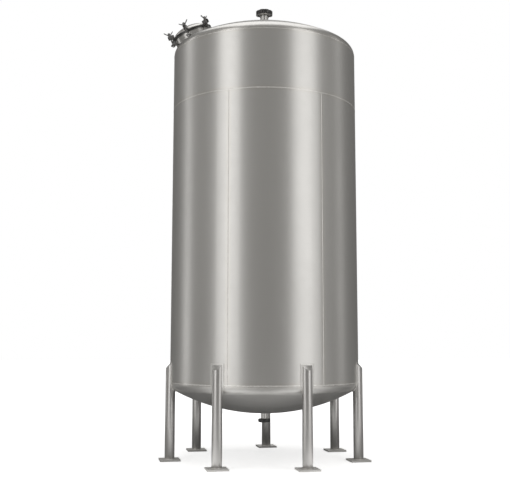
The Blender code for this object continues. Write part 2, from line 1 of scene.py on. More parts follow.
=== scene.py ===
"""Looks of the bulk milk tank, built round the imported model: smooth brushed-steel shells, weld beads, pipe
legs on doubler pads, cast wing nuts and notched union nuts, in a pale studio.

Metres, +Z up, floor at z = 0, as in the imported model.
"""

import math

import bmesh
import bpy
from mathutils import Matrix, Vector, noise


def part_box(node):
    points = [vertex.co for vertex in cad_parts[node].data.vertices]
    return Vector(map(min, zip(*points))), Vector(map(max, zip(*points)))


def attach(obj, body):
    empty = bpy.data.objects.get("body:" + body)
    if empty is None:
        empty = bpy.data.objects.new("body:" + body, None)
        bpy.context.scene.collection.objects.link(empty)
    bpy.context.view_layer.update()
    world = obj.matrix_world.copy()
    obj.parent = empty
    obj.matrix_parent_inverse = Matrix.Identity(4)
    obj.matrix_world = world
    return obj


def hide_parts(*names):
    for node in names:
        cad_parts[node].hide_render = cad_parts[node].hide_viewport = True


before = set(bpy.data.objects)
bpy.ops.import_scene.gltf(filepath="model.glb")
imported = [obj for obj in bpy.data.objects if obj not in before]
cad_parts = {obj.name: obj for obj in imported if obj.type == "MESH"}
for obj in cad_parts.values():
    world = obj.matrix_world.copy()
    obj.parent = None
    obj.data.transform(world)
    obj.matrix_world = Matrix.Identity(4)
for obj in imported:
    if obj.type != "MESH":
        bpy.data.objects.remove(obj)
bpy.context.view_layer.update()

# ------------------------ dimensions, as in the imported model
COURSE_LOW, COURSE_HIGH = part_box("upper_course")
SHEET_LOW, SHEET_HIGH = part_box("lower_sheet_1")
GAP = 0.0004                # left between pieces that touch
AXIS_X = (COURSE_LOW.x + COURSE_HIGH.x) / 2
RADIUS = (COURSE_HIGH.y - COURSE_LOW.y) / 2
SHELL_BOTTOM = SHEET_LOW.z - GAP
SHELL_TOP = COURSE_HIGH.z + GAP
COURSE_SEAM = (SHEET_HIGH.z + COURSE_LOW.z) / 2
WALL = 0.004                # of sheets and heads
SHEETS = 6
SHEET_SEAM = 237.6          # azimuth of the weld where the closing sheet starts
CLOSING_SHEET = 56.3        # its span; the other sheets share the rest evenly
CROWN = 2.000               # of both heads
KNUCKLE = 0.100
WELD_STEPS = (0.0, 0.008, 0.016, 0.024, 0.050)  # from a plate's edge to the close rows beside it
MESH_STEP = 1.5             # degrees between a sheet's other columns
RIPPLE = 0.10               # share by which a weld bead swells and shrinks

LEGS = 7
FIRST_LEG = 180.0           # azimuth
LEG_RADIUS = 0.0508
LEG_WALL = 0.0025
LEG_TOP = 0.942             # outer edge of the mitred top
FOOT_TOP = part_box("base_plate_1")[1].z
PAD_WIDTH = 0.140
PAD_THICKNESS = 0.004
PAD_BOTTOM, PAD_TOP = 0.735, 1.000
PAD_CHAMFER = 0.030

MANWAY_TILT = 23.0          # from the vertical, leaning to -X
CLAMP_AZIMUTH = 245.0       # of the middle clamp; the hinge is opposite
NECK_RADIUS = 0.206
NECK_WALL = 0.003
NECK_FOOT = -0.022          # end of the neck, inside the head
RIM_RADIUS = 0.228
RIM_TOP = 0.080
RIM_THICKNESS = 0.010
GASKET = 0.006
LID_WALL = 0.004
LID_DISH_RADIUS = 0.200
LID_CROWN = 0.350
LID_KNUCKLE = 0.040
CLAMP_SPACING = 60.0        # degrees between clamps
CLAMP_CIRCLE = 0.250
BOLT_RADIUS = 0.0085
BOLT_END = 0.006            # how far a bolt stands out of its nut
NUT_BORE = 0.0100
WING_HUB = 0.030            # height of a wing nut's hub
WING_TURNS = {1: 98.0, 2: -14.0, 3: 8.0}  # how far each wing nut is turned, degrees
EAR_HEIGHT = 0.040
LUG_LOW = 0.018
HINGE_X, HINGE_Z = -0.262, 0.1375
HINGE_PIN = 0.007
HINGE_REACH = 0.034         # from the pin's middle to the outside of a cheek
LID_RIM_BOTTOM = RIM_TOP + GASKET + 2 * GAP
LID_RIM_TOP = LID_RIM_BOTTOM + LID_WALL
EAR_TOP = LID_RIM_TOP + GAP + EAR_HEIGHT

TOP_UNION = dict(stub=0.046, male=0.069, nut=0.095, nut_low=0.199, nut_height=0.046, collar=0.003)
OUTLET_UNION = dict(stub=0.035, male=0.048, nut=0.0655, nut_low=0.059, nut_height=0.037, collar=0.0)
STUB_WALL = 0.002
STUB_INSIDE = 0.030         # how far the stubs reach into the vessel
CAP_LIP = 0.008             # top of a union nut, which holds its cap down
CAP_EDGE = 0.005
SEAL = 0.004
NUT_LOBES = 8
NOTCH_RADIUS = 0.26         # of a union nut's notches, as a share of its radius
NOTCH_DEPTH = 0.19
FIRST_NOTCH = 258.4         # azimuth, in the union's own axes
LANCE_RADIUS = 0.019
LANCE_BOTTOM = 4.420
BALL_RADIUS = 0.045
BALL_WALL = 0.002
BALL_DROP = 0.030           # from the lance's end to the ball's centre
BALL_SLEEVE = 0.025         # how far the ball's sleeve runs up the lance


# ------------------------ node helpers
def shader_node(tree, kind, settings=None, **inputs):
    """A node with its settings, and its named inputs set or linked."""
    made = tree.nodes.new(kind)
    for key, value in (settings or {}).items():
        setattr(made, key, value)
    for key, value in inputs.items():
        connect(tree, made.inputs[key.replace("_", " ")], value)
    return made


def connect(tree, socket, value):
    """Links a socket, or sets a plain value."""
    if isinstance(value, bpy.types.NodeSocket):
        tree.links.new(value, socket)
    else:
        socket.default_value = value


def calc(tree, operation, a, b):
    """One step of arithmetic."""
    made = tree.nodes.new("ShaderNodeMath")
    made.operation = operation
    connect(tree, made.inputs[0], a)
    connect(tree, made.inputs[1], b)
    return made.outputs[0]


def vector_calc(tree, operation, a, b=(0.0, 0.0, 0.0)):
    """One step of vector arithmetic that gives a number."""
    made = tree.nodes.new("ShaderNodeVectorMath")
    made.operation = operation
    connect(tree, made.inputs[0], a)
    connect(tree, made.inputs[1], b)
    return made.outputs["Value"]


def fit_range(tree, value, from_low, from_high, to_low, to_high):
    """Carries a value from one range to another, and holds it at the ends."""
    made = shader_node(tree, "ShaderNodeMapRange", Value=value, From_Min=from_low, From_Max=from_high,
                       To_Min=to_low, To_Max=to_high)
    return made.outputs[0]


def noise_field(tree, scale, detail=3.0, stretch=(1.0, 1.0, 1.0)):
    """Noise from 0 to 1 in the piece's own space; scale is in cycles per metre."""
    place = shader_node(tree, "ShaderNodeTexCoord").outputs["Object"]
    mapped = shader_node(tree, "ShaderNodeMapping", Vector=place, Scale=stretch).outputs[0]
    return shader_node(tree, "ShaderNodeTexNoise", Vector=mapped, Scale=scale, Detail=detail).outputs["Fac"]


def mix_color(tree, share, a, b):
    """Colour a, with a share of colour b."""
    made = tree.nodes.new("ShaderNodeMix")
    made.data_type = "RGBA"
    connect(tree, made.inputs["Factor"], share)
    for socket, value in zip([s for s in made.inputs if s.type == "RGBA"], (a, b)):
        connect(tree, socket, value if isinstance(value, bpy.types.NodeSocket) else (*value, 1.0))
    return next(s for s in made.outputs if s.type == "RGBA")


def bump(tree, height, distance, strength):
    made = shader_node(tree, "ShaderNodeBump", Height=height, Distance=distance, Strength=strength)
    return made.outputs[0]


def new_material(name):
    mat = bpy.data.materials.new(name)
    mat.use_nodes = True
    return mat, mat.node_tree, mat.node_tree.nodes["Principled BSDF"]


# ------------------------ materials
def brushed_steel(name, color, roughness, grain, seam=False, metallic=1.0):
    """Brushed stainless. The grain is noise drawn out along the brushing: cycles per metre along each
    axis. With seam, the ground zones beside the welds are smoother and faintly straw-tinted, by the
    "seam" distance stored in the mesh."""
    mat, tree, shader = new_material(name)
    streak = noise_field(tree, 1.0, 4.0, grain)
    cloud = noise_field(tree, 1.7, 3.0, (1.0, 1.0, 0.6))
    smudge = noise_field(tree, 14.0, 4.0)
    dull = tuple(c * 0.90 for c in color)
    tone = mix_color(tree, fit_range(tree, streak, 0.3, 0.7, 0.0, 0.35), color, dull)
    tone = mix_color(tree, fit_range(tree, cloud, 0.35, 0.75, 0.0, 0.45), tone, dull)
    rough = calc(tree, "ADD", fit_range(tree, streak, 0.25, 0.75, roughness - 0.015, roughness + 0.02),
                 fit_range(tree, cloud, 0.3, 0.7, -0.015, 0.02))
    rough = calc(tree, "ADD", rough, fit_range(tree, smudge, 0.45, 0.8, 0.0, 0.03))
    if seam:
        away = shader_node(tree, "ShaderNodeAttribute", {"attribute_name": "seam"}).outputs["Fac"]
        ground = fit_range(tree, away, 0.010, 0.018, 1.0, 0.0)
        tint = calc(tree, "MULTIPLY", fit_range(tree, away, 0.008, 0.040, 0.25, 0.0), smudge)
        rough = calc(tree, "SUBTRACT", rough, calc(tree, "MULTIPLY", ground, 0.03))
        tone = mix_color(tree, calc(tree, "MULTIPLY", ground, 0.4), tone, tuple(c * 0.92 for c in color))
        tone = mix_color(tree, tint, tone, (color[0] * 0.93, color[1] * 0.84, color[2] * 0.72))
    connect(tree, shader.inputs["Base Color"], tone)
    connect(tree, shader.inputs["Roughness"], rough)
    connect(tree, shader.inputs["Normal"], bump(tree, streak, 0.00002, 0.12))
    shader.inputs["Metallic"].default_value = metallic
    return mat


def cast_steel(name, color, roughness):
    """A casting: a fine pebbled skin, worn brighter on its edges, in the colour it is given, which below is
    darkened with painted shade.
    """
    mat, tree, shader = new_material(name)
    pebble = noise_field(tree, 700.0)
    blotch = noise_field(tree, 45.0)
    edge = shader_node(tree, "ShaderNodeNewGeometry").outputs["Pointiness"]
    worn = calc(tree, "MULTIPLY", fit_range(tree, edge, 0.52, 0.60, 0.0, 0.8),
                fit_range(tree, blotch, 0.35, 0.6, 0.3, 1.0))
    dull = tuple(c * 0.72 for c in color)
    tone = mix_color(tree, fit_range(tree, blotch, 0.3, 0.7, 0.0, 1.0), color, dull)
    tone = mix_color(tree, worn, tone, (0.42, 0.41, 0.40))
    rough = calc(tree, "ADD", fit_range(tree, pebble, 0.3, 0.7, roughness - 0.05, roughness + 0.06),
                 fit_range(tree, blotch, 0.3, 0.7, -0.04, 0.04))
    connect(tree, shader.inputs["Base Color"], tone)
    connect(tree, shader.inputs["Roughness"], rough)
    connect(tree, shader.inputs["Normal"], bump(tree, pebble, 0.0002, 0.35))
    shader.inputs["Metallic"].default_value = 1.0
    return mat


def weld_metal(name):
    """Weld bead: bright metal with straw and grey-blue heat tint in patches."""
    mat, tree, shader = new_material(name)
    patch = noise_field(tree, 60.0)
    fine = noise_field(tree, 900.0, 2.0)
    share = fit_range(tree, patch, 0.35, 0.65, 0.0, 1.0)
    tone = mix_color(tree, share, (0.84, 0.83, 0.81), (0.72, 0.70, 0.66))
    tone = mix_color(tree, fit_range(tree, patch, 0.62, 0.75, 0.0, 0.4), tone, (0.50, 0.51, 0.54))
    connect(tree, shader.inputs["Base Color"], tone)
    connect(tree, shader.inputs["Roughness"], fit_range(tree, fine, 0.3, 0.7, 0.24, 0.40))
    connect(tree, shader.inputs["Normal"], bump(tree, fine, 0.0001, 0.3))
    shader.inputs["Metallic"].default_value = 0.65
    return mat


def rubber(name):
    """Black seal rubber with a faint bloom and a fine matt skin."""
    mat, tree, shader = new_material(name)
    fine = noise_field(tree, 1100.0, 2.0)
    bloom = noise_field(tree, 30.0, 4.0)
    black, bloomed = (0.018, 0.018, 0.019), (0.060, 0.058, 0.055)
    tone = mix_color(tree, fit_range(tree, bloom, 0.45, 0.75, 0.0, 0.5), black, bloomed)
    connect(tree, shader.inputs["Base Color"], tone)
    connect(tree, shader.inputs["Roughness"], fit_range(tree, bloom, 0.3, 0.7, 0.52, 0.72))
    connect(tree, shader.inputs["Normal"], bump(tree, fine, 0.0001, 0.4))
    return mat


STEEL = (0.62, 0.61, 0.59)
SHEET = brushed_steel("brushed_sheet", STEEL, 0.32, (5.0, 5.0, 620.0), seam=True)
HEAD = brushed_steel("polished_head", STEEL, 0.30, (40.0, 40.0, 160.0), seam=True)
TUBE = brushed_steel("polished_tube", (0.58, 0.57, 0.55), 0.24, (30.0, 30.0, 900.0))
LEG = brushed_steel("leg_pipe", (0.56, 0.55, 0.535), 0.30, (420.0, 420.0, 14.0))
PLATE = brushed_steel("leg_plate", (0.66, 0.65, 0.63), 0.36, (260.0, 30.0, 260.0))
FOOT = brushed_steel("base_plate", STEEL, 0.50, (90.0, 14.0, 90.0), metallic=0.45)
# partly painted shade: clamps, wing nuts and hinge are darkened to grey for the shade they sit in; the
# pebbled skin and worn edges are the casting's own
CASTING_PAINTED_SHADE = cast_steel("dark_casting", (0.225, 0.222, 0.218), 0.38)
# painted shade: the stainless union nuts and manway rim get a near-black colour for the shade and dark
# reflections on them; the pebbled skin is the casting's own
NUT_AND_RIM_PAINTED_SHADE = cast_steel("nut_and_rim_painted_shade", (0.090, 0.089, 0.088), 0.33)
BOLT_STEEL = cast_steel("bolt_steel", (0.34, 0.335, 0.33), 0.34)
WELD = weld_metal("weld_metal")
RUBBER = rubber("seal_rubber")


# ------------------------ mesh helpers
SHARP = 32.0                # degrees between faces from which an edge is shaded sharp
MERGE = 0.000004            # vertices this close are one
FAR_FROM_WELDS = 1.0        # a "seam" distance for steel that isn't welded


def turn_z(degrees):
    return Matrix.Rotation(math.radians(degrees), 4, "Z")


def move(x, y, z):
    return Matrix.Translation((x, y, z))


VESSEL = move(AXIS_X, 0, 0)
UPSIDE_DOWN = Matrix.Rotation(math.pi, 4, "X")


def arc(cx, cz, radius, start, end, steps):
    """Points of an arc about (cx, cz). Its angles are in degrees: 0 is outwards and 90 is up."""
    angles = [math.radians(start + (end - start) * i / steps) for i in range(steps + 1)]
    return [(cx + radius * math.cos(a), cz + radius * math.sin(a)) for a in angles]


def rounded(points, radius, steps=3):
    """A closed outline with its corners rounded; a corner between short sides gets a smaller radius."""
    made = []
    for i, point in enumerate(points):
        here = Vector(point)
        back, ahead = Vector(points[i - 1]) - here, Vector(points[(i + 1) % len(points)]) - here
        on_axis = abs(here.x) < 1e-6
        bend = back.angle(ahead) if back.length > 1e-6 and ahead.length > 1e-6 else math.pi
        if on_axis or bend > math.radians(155):
            made.append(tuple(here))
            continue
        reach = min(radius, 0.45 * back.length, 0.45 * ahead.length)
        start, end = here + back.normalized() * reach, here + ahead.normalized() * reach
        for k in range(steps + 1):
            t = k / steps
            made.append(tuple(start * (1 - t) ** 2 + here * 2 * t * (1 - t) + end * t ** 2))
    return made


def finish_mesh(name, bm, mat, sharp=SHARP):
    bmesh.ops.remove_doubles(bm, verts=bm.verts, dist=MERGE)
    bmesh.ops.recalc_face_normals(bm, faces=bm.faces)
    mesh = bpy.data.meshes.new(name)
    bm.to_mesh(mesh)
    bm.free()
    mesh.materials.append(mat)
    mesh.shade_smooth()
    mesh.set_sharp_from_angle(angle=math.radians(sharp))
    return mesh


def show(name, mesh, place, body, node=None):
    """Puts a finished mesh in the scene, riding on its body, in place of the CAD node it stands for. An
    upright piece is placed in its vertices, as CAD nodes are; a tilted one keeps its own axes, which its
    grain follows."""
    upright = 0.999
    if place[2][2] > upright:
        mesh = mesh.copy()
        mesh.transform(place)
        place = Matrix()
    piece = bpy.data.objects.new(name, mesh)
    bpy.context.scene.collection.objects.link(piece)
    piece.matrix_world = place
    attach(piece, body)
    if node:
        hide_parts(node)


def lathe(name, profile, mat, steps, closed=True, limit=None, sharp=SHARP):
    """Turns (radius, height) points round Z. limit(angle) gives the largest radius at an angle."""
    bm = bmesh.new()
    rings = []
    for i in range(steps):
        angle = 2 * math.pi * i / steps
        most = limit(angle) if limit else math.inf
        rings.append([bm.verts.new((min(r, most) * math.cos(angle), min(r, most) * math.sin(angle), z))
                      for r, z in profile])
    count = len(profile)
    for i in range(steps):
        a, b = rings[i], rings[(i + 1) % steps]
        for j in range(count if closed else count - 1):
            k = (j + 1) % count
            bm.faces.new((a[j], b[j], b[k], a[k]))
    bmesh.ops.remove_doubles(bm, verts=bm.verts, dist=MERGE)
    bmesh.ops.dissolve_degenerate(bm, edges=bm.edges, dist=MERGE)
    return finish_mesh(name, bm, mat, sharp)


def cylinder(name, radius, low, high, mat, steps):
    return lathe(name, [(0.0, high), (radius, high), (radius, low), (0.0, low)], mat, steps, closed=False)


def mark_seams(mesh, distance):
    """Stores each vertex's distance to the nearest weld, which the steel's shading reads."""
    attribute = mesh.attributes.new("seam", "FLOAT", "POINT")
    attribute.data.foreach_set("value", [distance(v.co) for v in mesh.vertices])
    return mesh


def evaluated(obj):
    """The object's mesh with its modifiers applied."""
    bpy.context.view_layer.update()
    graph = bpy.context.evaluated_depsgraph_get()
    return bpy.data.meshes.new_from_object(obj.evaluated_get(graph), depsgraph=graph)


def weld_vertices(obj):
    weld = obj.modifiers.new("weld", "WELD")
    weld.merge_threshold = 0.00001


def round_edges(obj, width, segments):
    edge = obj.modifiers.new("edge", "BEVEL")
    edge.width, edge.segments, edge.limit_method = width, segments, "ANGLE"
    edge.angle_limit = math.radians(35)
    return edge


def shaped(mesh, cuts=(), bevel=0.0, remesh=0.0, soften=0):
    """The mesh after Booleans, voxel remesh, smoothing and edge rounding, with all of it applied."""
    work = bpy.data.objects.new(mesh.name, mesh)
    bpy.context.scene.collection.objects.link(work)
    cutters = []
    for number, (operation, other, at) in enumerate(cuts):
        cutter = bpy.data.objects.new(f"cutter_{number}", other)
        bpy.context.scene.collection.objects.link(cutter)
        cutter.matrix_world = at
        cut = work.modifiers.new("cut", "BOOLEAN")
        cut.operation, cut.solver, cut.object = operation, "EXACT", cutter
        cutters.append(cutter)
    if remesh:
        voxels = work.modifiers.new("remesh", "REMESH")
        voxels.mode, voxels.voxel_size = "VOXEL", remesh
    if soften:
        relax = work.modifiers.new("soften", "SMOOTH")
        relax.factor, relax.iterations = 0.5, soften
    if bevel:
        weld_vertices(work)
        round_edges(work, bevel, 2)
    made = evaluated(work)
    for obj in [work, *cutters]:
        bpy.data.objects.remove(obj, do_unlink=True)
    made.name = mesh.name
    made.shade_smooth()
    made.set_sharp_from_angle(angle=math.radians(SHARP))
    return made


def oval(bm, centre, across, lift, sides):
    """A ring of vertices about a centre, from its two half axes."""
    angles = [2 * math.pi * k / sides for k in range(sides)]
    return [bm.verts.new(centre + math.cos(a) * across + math.sin(a) * lift) for a in angles]


def join_rings(bm, rings, closed=False):
    """Faces from each ring of vertices to the next, and flat ends unless it closes on itself."""
    sides = len(rings[0])
    for i in range(len(rings) if closed else len(rings) - 1):
        a, b = rings[i], rings[(i + 1) % len(rings)]
        for k in range(sides):
            bm.faces.new((a[k], b[k], b[(k + 1) % sides], a[(k + 1) % sides]))
    if not closed:
        bm.faces.new(rings[0])
        bm.faces.new(rings[-1][::-1])


def bead(name, path, width, height, closed=False, pitch=0.004, up=None):
    """A weld bead along the path: a low oval section, width across and twice height tall, that swells
    and shrinks at each ripple. up(point) gives the direction of its height; without it the section
    keeps its first direction as it goes."""
    points = [Vector(p) for p in path]
    if closed:
        points.append(points[0])
    lengths = [0.0]
    for a, b in zip(points, points[1:]):
        lengths.append(lengths[-1] + (b - a).length)
    count = 2 * max(4, int(lengths[-1] / pitch))
    normal = (points[1] - points[0]).orthogonal()
    bm = bmesh.new()
    rings, index = [], 0
    for i in range(count if closed else count + 1):
        along = lengths[-1] * i / count
        while index < len(points) - 2 and lengths[index + 1] < along:
            index += 1
        a, b = points[index], points[index + 1]
        span = max(lengths[index + 1] - lengths[index], 1e-9)
        here = a.lerp(b, (along - lengths[index]) / span)
        forward = (b - a).normalized()
        if up:
            normal = up(here)
        normal = (normal - forward * normal.dot(forward)).normalized()
        side = forward.cross(normal)
        size = 1.0 + (RIPPLE if i % 2 else -RIPPLE) + RIPPLE * noise.noise(here * 40.0)
        if not closed and i in (0, count):
            size *= 0.45
        rings.append(oval(bm, here, side * (size * width / 2), normal * (size * height), 8))
    join_rings(bm, rings, closed)
    return finish_mesh(name, bm, WELD, 60.0)


def circle_path(radius, height, steps):
    angles = [2 * math.pi * i / steps for i in range(steps)]
    return [(radius * math.cos(a), radius * math.sin(a), height) for a in angles]


def outward(point):
    return Vector((point.x, point.y, 0.0)).normalized()


# ------------------------ vessel
def head_depth():
    """Rise of a dished head from its tangent line to its middle."""
    return CROWN - math.sqrt((CROWN - KNUCKLE) ** 2 - (RADIUS - KNUCKLE) ** 2)


def head_arc(offset, hole, crown_steps=48, knuckle_steps=14):
    """Half section of a dished head from its central hole's edge to the tangent line at z = 0."""
    centre = head_depth() - CROWN
    meet = math.degrees(math.acos((RADIUS - KNUCKLE) / (CROWN - KNUCKLE)))
    crown = CROWN + offset
    first = math.degrees(math.acos(hole / crown)) if hole > 0 else 90.0
    points = arc(0.0, centre, crown, first, meet, crown_steps)
    return points + arc(RADIUS - KNUCKLE, 0.0, KNUCKLE + offset, meet, 0.0, knuckle_steps)[1:]


def head_mesh(name, hole):
    """A dished head with a round hole in its middle, its tangent line at z = 0."""
    return lathe(name, head_arc(0.0, hole) + head_arc(-WALL, hole)[::-1], HEAD, 240)


def plate_rows(low, high, count):
    """Heights up a plate: close together beside the welds at its edges, evenly spread between."""
    margin = WELD_STEPS[-1]
    middle = [low + margin + (high - low - 2 * margin) * i / count for i in range(1, count)]
    return [low + d for d in WELD_STEPS] + middle + [high - d for d in WELD_STEPS[::-1]]


def sheet_mesh(span):
    """A bent plate from azimuth 0 to span, with close rows and columns beside its welds."""
    half_gap = math.degrees(1.2 * GAP / RADIUS) / 2    # to the neighbouring sheet
    near = [math.degrees(d / RADIUS) for d in WELD_STEPS]
    columns = [half_gap + a for a in near]
    columns += [MESH_STEP * i for i in range(4, int(span / MESH_STEP) - 3)]
    columns += [span - half_gap - a for a in near[::-1]]
    rows = plate_rows(SHELL_BOTTOM + GAP, COURSE_SEAM - GAP, 24)
    bm = bmesh.new()

    def skin(radius):
        return [[bm.verts.new((radius * math.cos(math.radians(a)), radius * math.sin(math.radians(a)), z))
                 for z in rows] for a in columns]

    outer, inner = skin(RADIUS), skin(RADIUS - WALL)
    for grid in (outer, inner):
        for left, right in zip(grid, grid[1:]):
            for j in range(len(rows) - 1):
                bm.faces.new((left[j], right[j], right[j + 1], left[j + 1]))
    for end in (0, -1):
        for j in range(len(rows) - 1):
            bm.faces.new((outer[end][j], outer[end][j + 1], inner[end][j + 1], inner[end][j]))
        for i in range(len(columns) - 1):
            bm.faces.new((outer[i][end], outer[i + 1][end], inner[i + 1][end], inner[i][end]))
    mesh = finish_mesh("lower_sheet", bm, SHEET)

    def weld_distance(co):
        azimuth = math.degrees(math.atan2(co.y, co.x)) % 360.0
        sideways = math.radians(min(azimuth, abs(span - azimuth))) * RADIUS
        return min(sideways, co.z - SHELL_BOTTOM, COURSE_SEAM - co.z)

    return mark_seams(mesh, weld_distance)


def build_shell():
    """Six upright sheets with their welds, the upper course, and the three ring welds."""
    even_span = (360.0 - CLOSING_SHEET) / (SHEETS - 1)
    closing, even = sheet_mesh(CLOSING_SHEET), sheet_mesh(even_span)
    short = 0.006
    ends = [(RADIUS, 0, SHELL_BOTTOM + short), (RADIUS, 0, COURSE_SEAM - short)]
    line = bead("sheet_weld", ends, 0.009, 0.0011, up=outward)
    azimuth = SHEET_SEAM
    for number in range(SHEETS):
        place = VESSEL @ turn_z(azimuth)
        mesh, span = (even, even_span) if number else (closing, CLOSING_SHEET)
        show(f"sheet_{number + 1}", mesh, place, "tank", f"lower_sheet_{number + 1}")
        show(f"upright_weld_{number + 1}", line, place, "tank")
        azimuth += span
    heights = plate_rows(COURSE_SEAM + GAP, SHELL_TOP - GAP, 6)
    profile = [(RADIUS, z) for z in heights[::-1]] + [(RADIUS - WALL, z) for z in heights]
    course = lathe("upper_course", profile, SHEET, 240)
    mark_seams(course, lambda co: min(abs(co.z - COURSE_SEAM), abs(co.z - SHELL_TOP)))
    show("upper_shell", course, VESSEL, "tank", "upper_course")
    for name, height, width, rise in (("lower_ring_weld", SHELL_BOTTOM, 0.010, 0.0013),
                                      ("course_ring_weld", COURSE_SEAM, 0.010, 0.0013),
                                      ("upper_ring_weld", SHELL_TOP, 0.006, 0.0005)):
        path = circle_path(RADIUS, height, 360)
        ring = bead(name, path, width, rise, closed=True, pitch=0.006, up=outward)
        show(name, ring, VESSEL, "tank")


def build_heads():
    """The upper head, holed for the manway, and the lower head upside down."""
    top_place = VESSEL @ move(0, 0, SHELL_TOP)
    top = head_mesh("top_head", TOP_UNION["stub"] + GAP)
    hole = cylinder("manway_hole", NECK_RADIUS + GAP, -0.1, 0.1, HEAD, 128)
    top = shaped(top, [("DIFFERENCE", hole, top_place.inverted() @ MANWAY)])
    mark_seams(top, lambda co: abs(co.z))
    show("upper_head", top, top_place, "tank", "top_head")
    bottom_place = VESSEL @ move(0, 0, SHELL_BOTTOM) @ UPSIDE_DOWN
    bottom = mark_seams(head_mesh("bottom_head", OUTLET_UNION["stub"] + GAP), lambda co: abs(co.z))
    show("lower_head", bottom, bottom_place, "tank", "bottom_head")


# ------------------------ legs
def mitred_rod(name, radius, low, mitre_top):
    """An upright rod, cut off at 45 degrees from mitre_top on its outer side."""
    length = 2.0
    bm = bmesh.new()
    bmesh.ops.create_cone(bm, cap_ends=True, segments=72, radius1=radius, radius2=radius, depth=length,
                          matrix=move(0, 0, low + length / 2))
    cut = bmesh.ops.bisect_plane(bm, geom=bm.verts[:] + bm.edges[:] + bm.faces[:], clear_outer=True,
                                 plane_co=(radius, 0, mitre_top), plane_no=(1, 0, 1))
    edges = [item for item in cut["geom_cut"] if isinstance(item, bmesh.types.BMEdge)]
    bmesh.ops.edgeloop_fill(bm, edges=edges)
    return finish_mesh(name, bm, LEG)


def leg_mesh():
    """A pipe with a capped mitre, coped over its pad and the knuckle, with its edges eased."""
    offset = PAD_THICKNESS + 2 * GAP
    above = PAD_TOP + 0.1
    under = [(x, SHELL_BOTTOM - z) for x, z in head_arc(offset, 0.0, 12, 24)]
    cope = lathe("cope", [(0.0, above), (RADIUS + offset, above)] + under[::-1], LEG, 360, closed=False)
    even_wall = 0.414 * LEG_WALL    # tangent of 22.5 degrees: the cap is as thick as the pipe's wall
    bore = mitred_rod("bore", LEG_RADIUS - LEG_WALL, -0.1, LEG_TOP - even_wall)
    rod = mitred_rod("leg", LEG_RADIUS, FOOT_TOP + GAP, LEG_TOP)
    return shaped(rod, [("DIFFERENCE", bore, Matrix()), ("DIFFERENCE", cope, move(-RADIUS, 0, 0))],
                  bevel=0.0009)


def cope_height(x, y):
    """Height at which the leg's pipe meets the pad or the shell, at a point of the pipe's circle."""
    reach = math.hypot(RADIUS + x, y) - (RADIUS - KNUCKLE)
    return SHELL_BOTTOM - math.sqrt(max(0.0, (KNUCKLE + PAD_THICKNESS) ** 2 - reach ** 2))


def leg_weld():
    """The bead round the pipe's cope: down one side of it, under the knuckle and up the other side."""
    side = math.acos(PAD_THICKNESS / LEG_RADIUS)
    steps = 60
    under = []
    for i in range(steps + 1):
        a = side + (2 * math.pi - 2 * side) * i / steps
        x, y = LEG_RADIUS * math.cos(a), LEG_RADIUS * math.sin(a)
        under.append((x, y, cope_height(x, y)))
    top = LEG_TOP + LEG_RADIUS - PAD_THICKNESS - 0.004    # 4 mm below where the mitre meets the pad
    first, last = under[0], under[-1]
    path = [(first[0], first[1], top)] + under + [(last[0], last[1], top)]
    return bead("leg_weld", path, 0.0075, 0.0030, pitch=0.005)


def pad_outline():
    """Half widths at heights down the pad: square above, chamfered at the bottom corners."""
    half = PAD_WIDTH / 2
    return [(PAD_TOP, half), (PAD_BOTTOM + PAD_CHAMFER, half), (PAD_BOTTOM, half - PAD_CHAMFER)]


def pad_point(sideways, height, out):
    """A point on the pad's surface: out from the shell, round its curve and down its knuckle."""
    lean = math.asin(max(0.0, SHELL_BOTTOM - height) / KNUCKLE)
    radius = RADIUS - KNUCKLE + (KNUCKLE + out) * math.cos(lean)
    azimuth = sideways / RADIUS
    return Vector((radius * math.cos(azimuth), radius * math.sin(azimuth), height - out * math.sin(lean)))


def skin_rim(skin):
    """The vertices round the edge of a grid of rows, in order."""
    right = [row[-1] for row in skin[1:]]
    left = [row[0] for row in skin[-2:0:-1]]
    return skin[0] + right + skin[-1][-2::-1] + left


def pad_mesh():
    """A doubler pad, rolled over the shell and its knuckle, with its outer edge eased."""
    heights = [PAD_TOP - (PAD_TOP - PAD_BOTTOM) * i / 40 for i in range(41)]
    ease = 0.0012
    layers = [(GAP, 0.0), (PAD_THICKNESS - ease, 0.0), (PAD_THICKNESS - 0.3 * ease, 0.3 * ease),
              (PAD_THICKNESS, ease)]
    half_widths = [PAD_WIDTH / 2 - max(0.0, PAD_BOTTOM + PAD_CHAMFER - z) for z in heights]
    bm = bmesh.new()
    columns = 17
    skins = []
    for out, inset in layers:
        skin = []
        for z, half in zip(heights, half_widths):
            z_in = min(PAD_TOP - inset, max(PAD_BOTTOM + inset, z))
            skin.append([bm.verts.new(pad_point((half - inset) * (2 * i / (columns - 1) - 1), z_in, out))
                         for i in range(columns)])
        skins.append(skin)
    for skin in (skins[0], skins[-1]):
        for up, down in zip(skin, skin[1:]):
            for i in range(columns - 1):
                bm.faces.new((up[i], up[i + 1], down[i + 1], down[i]))
    for near, far in zip(skins, skins[1:]):
        a, b = skin_rim(near), skin_rim(far)
        for i in range(len(a)):
            j = (i + 1) % len(a)
            bm.faces.new((a[i], a[j], b[j], b[i]))
    return finish_mesh("leg_pad", bm, PLATE)


def pad_weld():
    """The bead round the pad's edge."""
    out = 0.0016      # from the shell to the bead's middle
    right = [(half, z) for z, half in pad_outline()]
    corners = [(-half, z) for half, z in right[::-1]]
    outline = right + corners + [right[0]]
    path = []
    for (s0, z0), (s1, z1) in zip(outline, outline[1:]):
        steps = max(2, int(math.hypot(s1 - s0, z1 - z0) / 0.008))
        for i in range(steps):
            t = i / steps
            path.append(pad_point(s0 + (s1 - s0) * t, z0 + (z1 - z0) * t, out))
    return bead("pad_weld", path, 0.0085, 0.0030, closed=True, pitch=0.005, up=outward)


